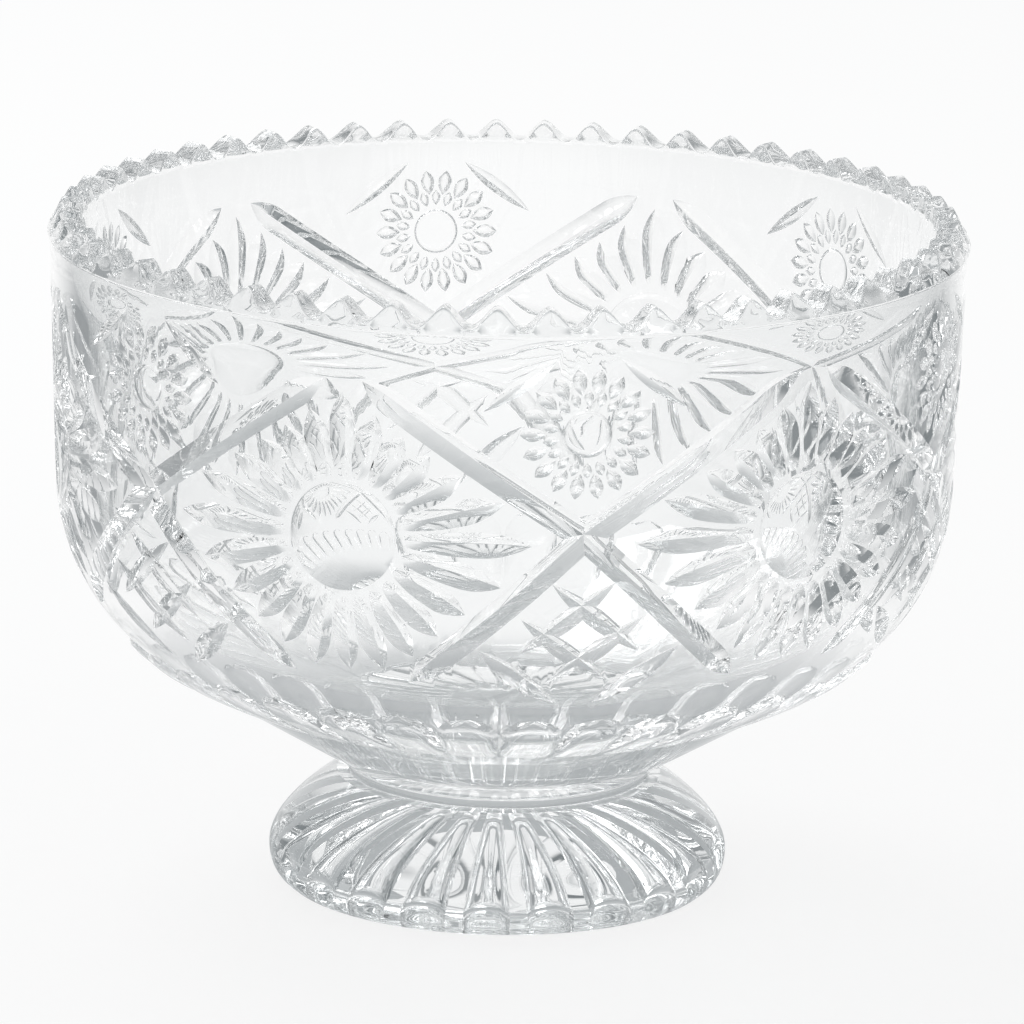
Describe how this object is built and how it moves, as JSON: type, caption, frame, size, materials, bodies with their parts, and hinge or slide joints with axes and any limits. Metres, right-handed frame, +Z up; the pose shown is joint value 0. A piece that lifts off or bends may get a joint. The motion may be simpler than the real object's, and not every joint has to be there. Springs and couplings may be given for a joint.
{
  "type": "footed glass bowl",
  "caption": "Deep round serving bowl of clear pressed glass on a low hollow foot, with a toothed rim and a cut pattern of sunbursts, daisies and a diamond lattice; holds food on a table.",
  "frame": {"origin": "on the table, at the middle of the foot's ring", "axes": "+Z up along the bowl's axis; -Y passes through the middle of one sunburst"},
  "size_m": [0.23, 0.23, 0.1733],
  "materials": {
    "bowl_glass": "clear colourless pressed glass, fire-polished",
    "collar_glass": "clear colourless glass, fused at both faces",
    "foot_glass": "clear colourless pressed glass, fire-polished"
  },
  "bodies": {
    "root": {"bowl": "bowl_glass", "collar": "collar_glass", "foot": "foot_glass"}
  },
  "joints": []
}
